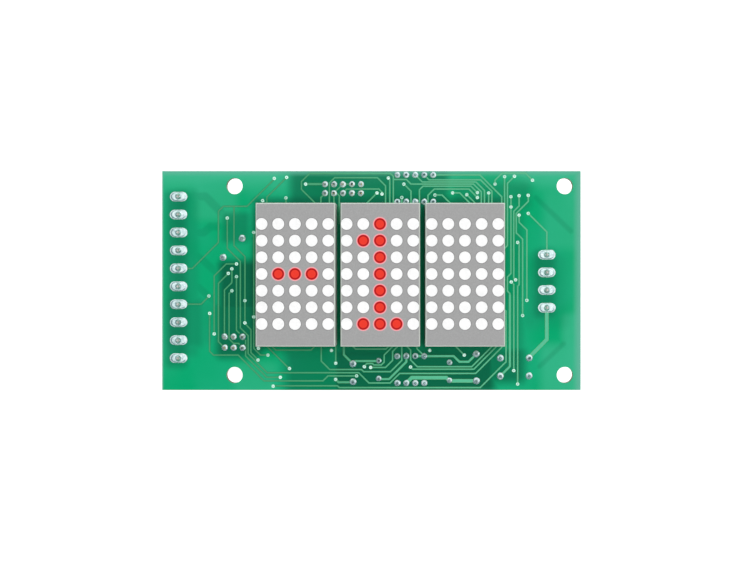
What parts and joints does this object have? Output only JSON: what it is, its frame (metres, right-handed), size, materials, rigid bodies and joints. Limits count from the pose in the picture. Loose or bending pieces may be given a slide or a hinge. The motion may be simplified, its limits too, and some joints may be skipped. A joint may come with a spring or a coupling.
{
  "type": "led dot matrix display",
  "caption": "Circuit board display with a row of dot matrix modules, plug connectors at both ends and its drive and supply parts on the rear.",
  "frame": {"origin": "centre of the four mounting holes, on the board's rear face", "axes": "+Z out of the display face, +X along the row of matrices, +Y up the digits"},
  "size_m": [0.1184, 0.062, 0.0216],
  "materials": {
    "solder_mask": "green solder mask, satin gloss",
    "masked_copper": "paler green solder mask over copper, satin gloss",
    "masked_via": "pale green ring",
    "solder": "bright solder",
    "matrix_face": "satin mid grey moulding",
    "dot_unlit": "milky white resin",
    "dot_lit": "milky resin, lit red",
    "carrier": "dark green laminate",
    "potting": "cast resin",
    "tinned": "tin plate",
    "die": "polished crystal",
    "shroud": "satin green moulding",
    "header_plastic": "satin black moulding",
    "gilt": "gold flash",
    "cap_plastic": "satin black moulding",
    "switch_plastic": "satin blue moulding",
    "slider_plastic": "white moulding",
    "chip_plastic": "fine matt black moulding",
    "can_sleeve": "dark blue shrink sleeve",
    "bung": "black rubber",
    "film_resin": "dipped red resin",
    "ferrite": "sintered ferrite",
    "enamelled_wire": "enamelled copper wire",
    "diode_resin": "black moulding",
    "fuse_resin": "dipped yellow resin",
    "can_metal": "drawn metal",
    "resistor_ceramic": "glazed black"
  },
  "bodies": {
    "display": {"circuit_board": "solder_mask", "front_tracks": "masked_copper", "rear_tracks": "masked_copper", "vias": "masked_via", "signal_solder": "solder", "power_solder": "solder", "part_solder": "solder", "matrix_solder": "solder", "matrix_1_housing": "matrix_face", "matrix_2_housing": "matrix_face", "matrix_3_housing": "matrix_face", "matrix_1_dots": "dot_unlit", "matrix_2_dots": "dot_unlit", "matrix_3_dots": "dot_unlit", "matrix_1_lit_dots": "dot_lit", "matrix_2_lit_dots": "dot_lit", "matrix_carriers": "carrier", "matrix_potting": "potting", "matrix_1_pins": "tinned", "matrix_2_pins": "tinned", "matrix_3_pins": "tinned", "led_dies": "die", "signal_connector": "shroud", "power_connector": "shroud", "signal_pins": "tinned", "power_pins": "tinned", "ribbon_header": "header_plastic", "jumper_headers": "header_plastic", "ribbon_pins": "gilt", "jumper_pins": "gilt", "jumper_caps": "cap_plastic", "jumper_clips": "gilt", "switch_cover": "switch_plastic", "switch_base": "header_plastic", "switch_pins": "tinned", "regulator": "chip_plastic", "regulator_leads": "tinned", "capacitor_cans": "can_metal", "capacitor_sleeves": "can_sleeve", "capacitor_bungs": "bung", "film_capacitor": "film_resin", "choke_core": "ferrite", "choke_winding": "enamelled_wire", "diode_bodies": "diode_resin", "diode_leads": "tinned", "fuse_disc": "fuse_resin", "radial_leads": "tinned", "microcontroller": "chip_plastic", "driver_chips": "chip_plastic", "chip_leads": "tinned", "transistors": "chip_plastic", "transistor_leads": "tinned", "crystal_can": "can_metal", "resistor_chips": "resistor_ceramic", "resistor_ends": "solder"},
    "slider_1": {"switch_slider_1": "slider_plastic"},
    "slider_2": {"switch_slider_2": "slider_plastic"},
    "slider_3": {"switch_slider_3": "slider_plastic"},
    "slider_4": {"switch_slider_4": "slider_plastic"},
    "slider_5": {"switch_slider_5": "slider_plastic"}
  },
  "joints": [
    {"name": "slide_1", "type": "slide", "parent": "display", "child": "slider_1", "axis": [0, 1, 0], "range_m": [0, 0.0016]},
    {"name": "slide_2", "type": "slide", "parent": "display", "child": "slider_2", "axis": [0, 1, 0], "range_m": [0, 0.0016]},
    {"name": "slide_3", "type": "slide", "parent": "display", "child": "slider_3", "axis": [0, 1, 0], "range_m": [0, 0.0016]},
    {"name": "slide_4", "type": "slide", "parent": "display", "child": "slider_4", "axis": [0, 1, 0], "range_m": [0, 0.0016]},
    {"name": "slide_5", "type": "slide", "parent": "display", "child": "slider_5", "axis": [0, 1, 0], "range_m": [0, 0.0016]}
  ]
}
